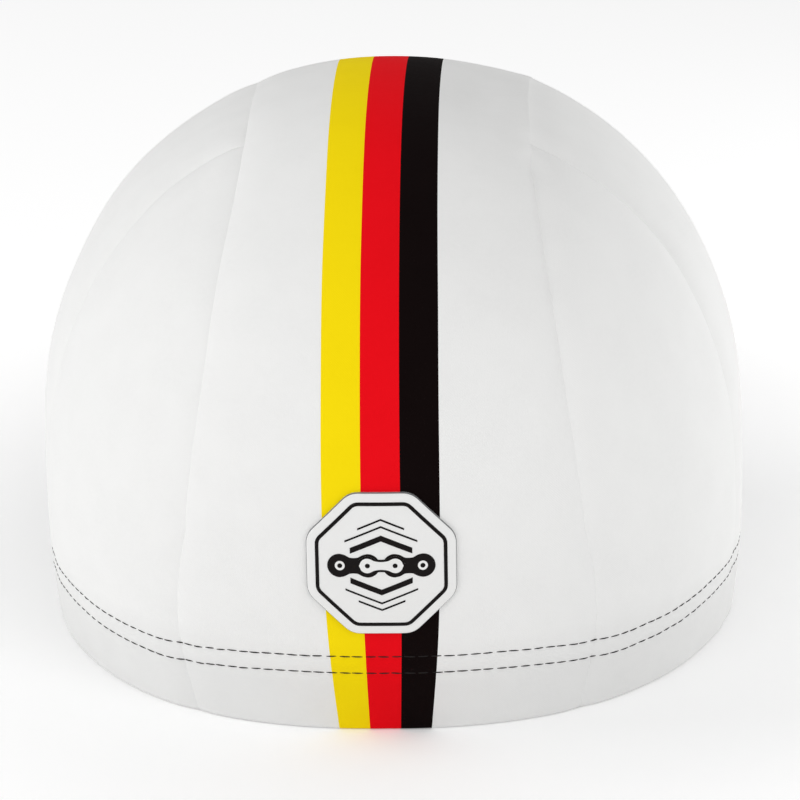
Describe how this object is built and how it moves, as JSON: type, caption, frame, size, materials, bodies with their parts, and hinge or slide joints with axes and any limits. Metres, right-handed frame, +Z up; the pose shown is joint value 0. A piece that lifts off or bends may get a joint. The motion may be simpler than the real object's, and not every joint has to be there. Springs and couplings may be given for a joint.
{
  "type": "cycling cap",
  "caption": "Soft cotton cycling cap with a panelled crown, a striped middle panel, an inner head band, a short peak and a small rear badge.",
  "frame": {"origin": "on the surface that the cap rests on, under the middle of its length and width", "axes": "+Z up through the crown, -Y forward along the peak, +X towards the wearer's left"},
  "size_m": [0.176, 0.2488, 0.138],
  "materials": {
    "striped_cotton": "plain-woven cotton, white, printed with three 9 mm stripes in yellow, red and black",
    "white_cotton": "plain-woven cotton, white, matte",
    "band_cotton": "white cotton twill tape, matte",
    "badge_twill": "smooth white printed badge cloth with black line work"
  },
  "bodies": {
    "root": {"centre_panel": "striped_cotton", "rear_side_panel_left": "white_cotton", "rear_side_panel_right": "white_cotton", "front_side_panel_left": "white_cotton", "front_side_panel_right": "white_cotton", "head_band": "band_cotton", "peak": "white_cotton", "rear_badge": "badge_twill"}
  },
  "joints": []
}
